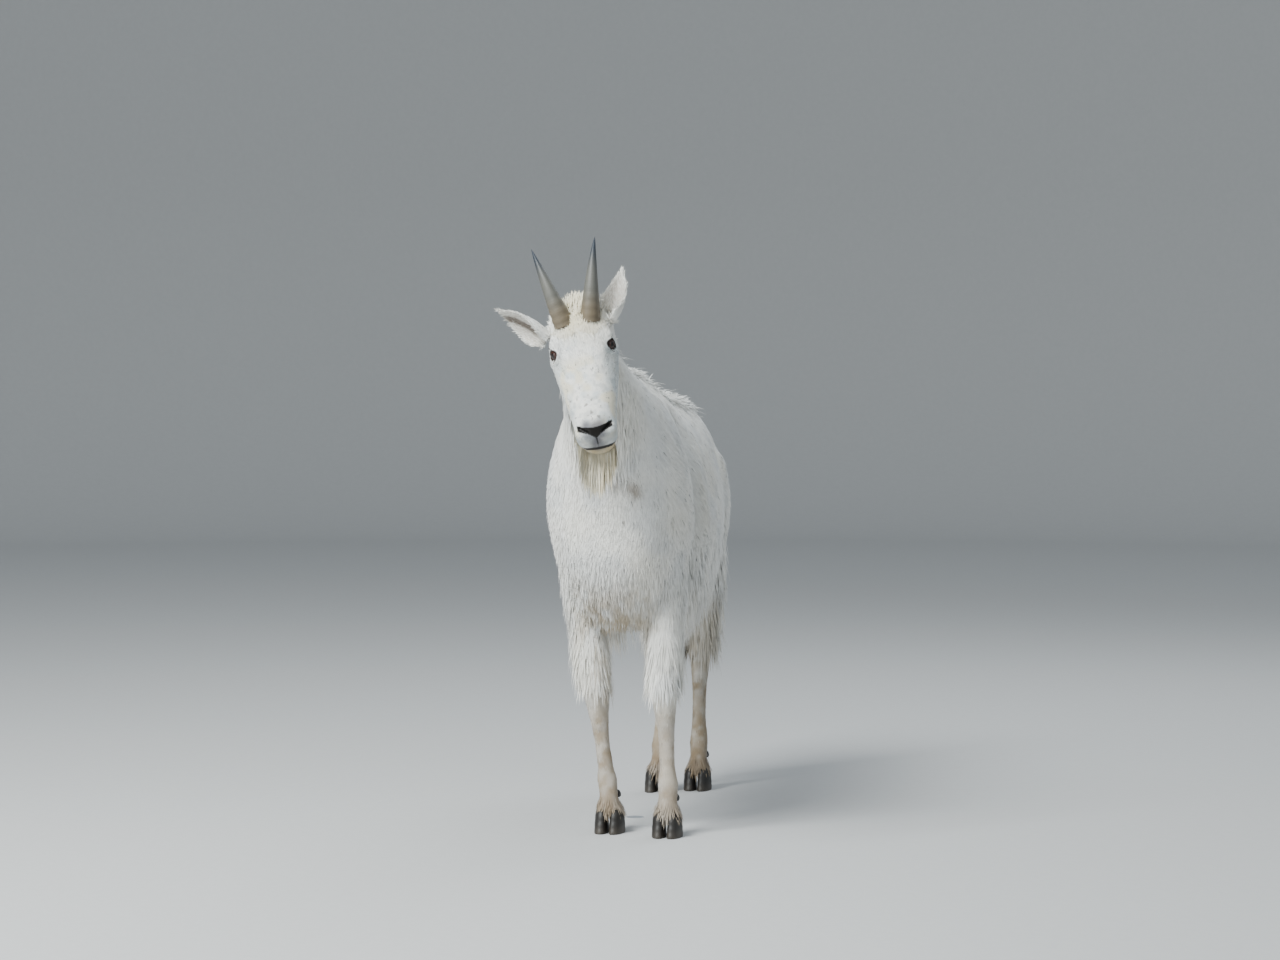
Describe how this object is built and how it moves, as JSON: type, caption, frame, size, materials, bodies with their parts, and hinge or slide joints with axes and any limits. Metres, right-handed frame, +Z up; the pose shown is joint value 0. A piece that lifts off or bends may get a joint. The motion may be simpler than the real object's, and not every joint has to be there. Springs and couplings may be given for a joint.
{
  "type": "mountain goat",
  "caption": "Life-size standing mountain goat with short black horns, a beard and a shaggy white coat.",
  "frame": {"origin": "middle of the bounding box, on the floor that the hooves stand on", "axes": "+Z up, +Y towards the tail, +X to the animal's left; the animal faces -Y"},
  "size_m": [0.3616, 1.3248, 1.2961],
  "materials": {
    "coat": "shaggy white hair",
    "horn": "ringed grey-brown horn",
    "hoof": "worn black horn",
    "eye": "wet and dark"
  },
  "bodies": {
    "root": {"ear_left": "coat", "ear_right": "coat", "eye_left": "eye", "eye_right": "eye", "foreleg_lower_left": "coat", "foreleg_lower_right": "coat", "foreleg_upper_left": "coat", "foreleg_upper_right": "coat", "head": "coat", "hindleg_lower_left": "coat", "hindleg_lower_right": "coat", "hindleg_upper_left": "coat", "hindleg_upper_right": "coat", "hoof_foreleg_left_inner": "hoof", "hoof_foreleg_left_outer": "hoof", "hoof_foreleg_right_inner": "hoof", "hoof_foreleg_right_outer": "hoof", "hoof_hindleg_left_inner": "hoof", "hoof_hindleg_left_outer": "hoof", "hoof_hindleg_right_inner": "hoof", "hoof_hindleg_right_outer": "hoof", "horn_left": "horn", "horn_right": "horn", "jaw": "coat", "neck": "coat", "tail": "coat", "torso": "coat"}
  },
  "joints": []
}
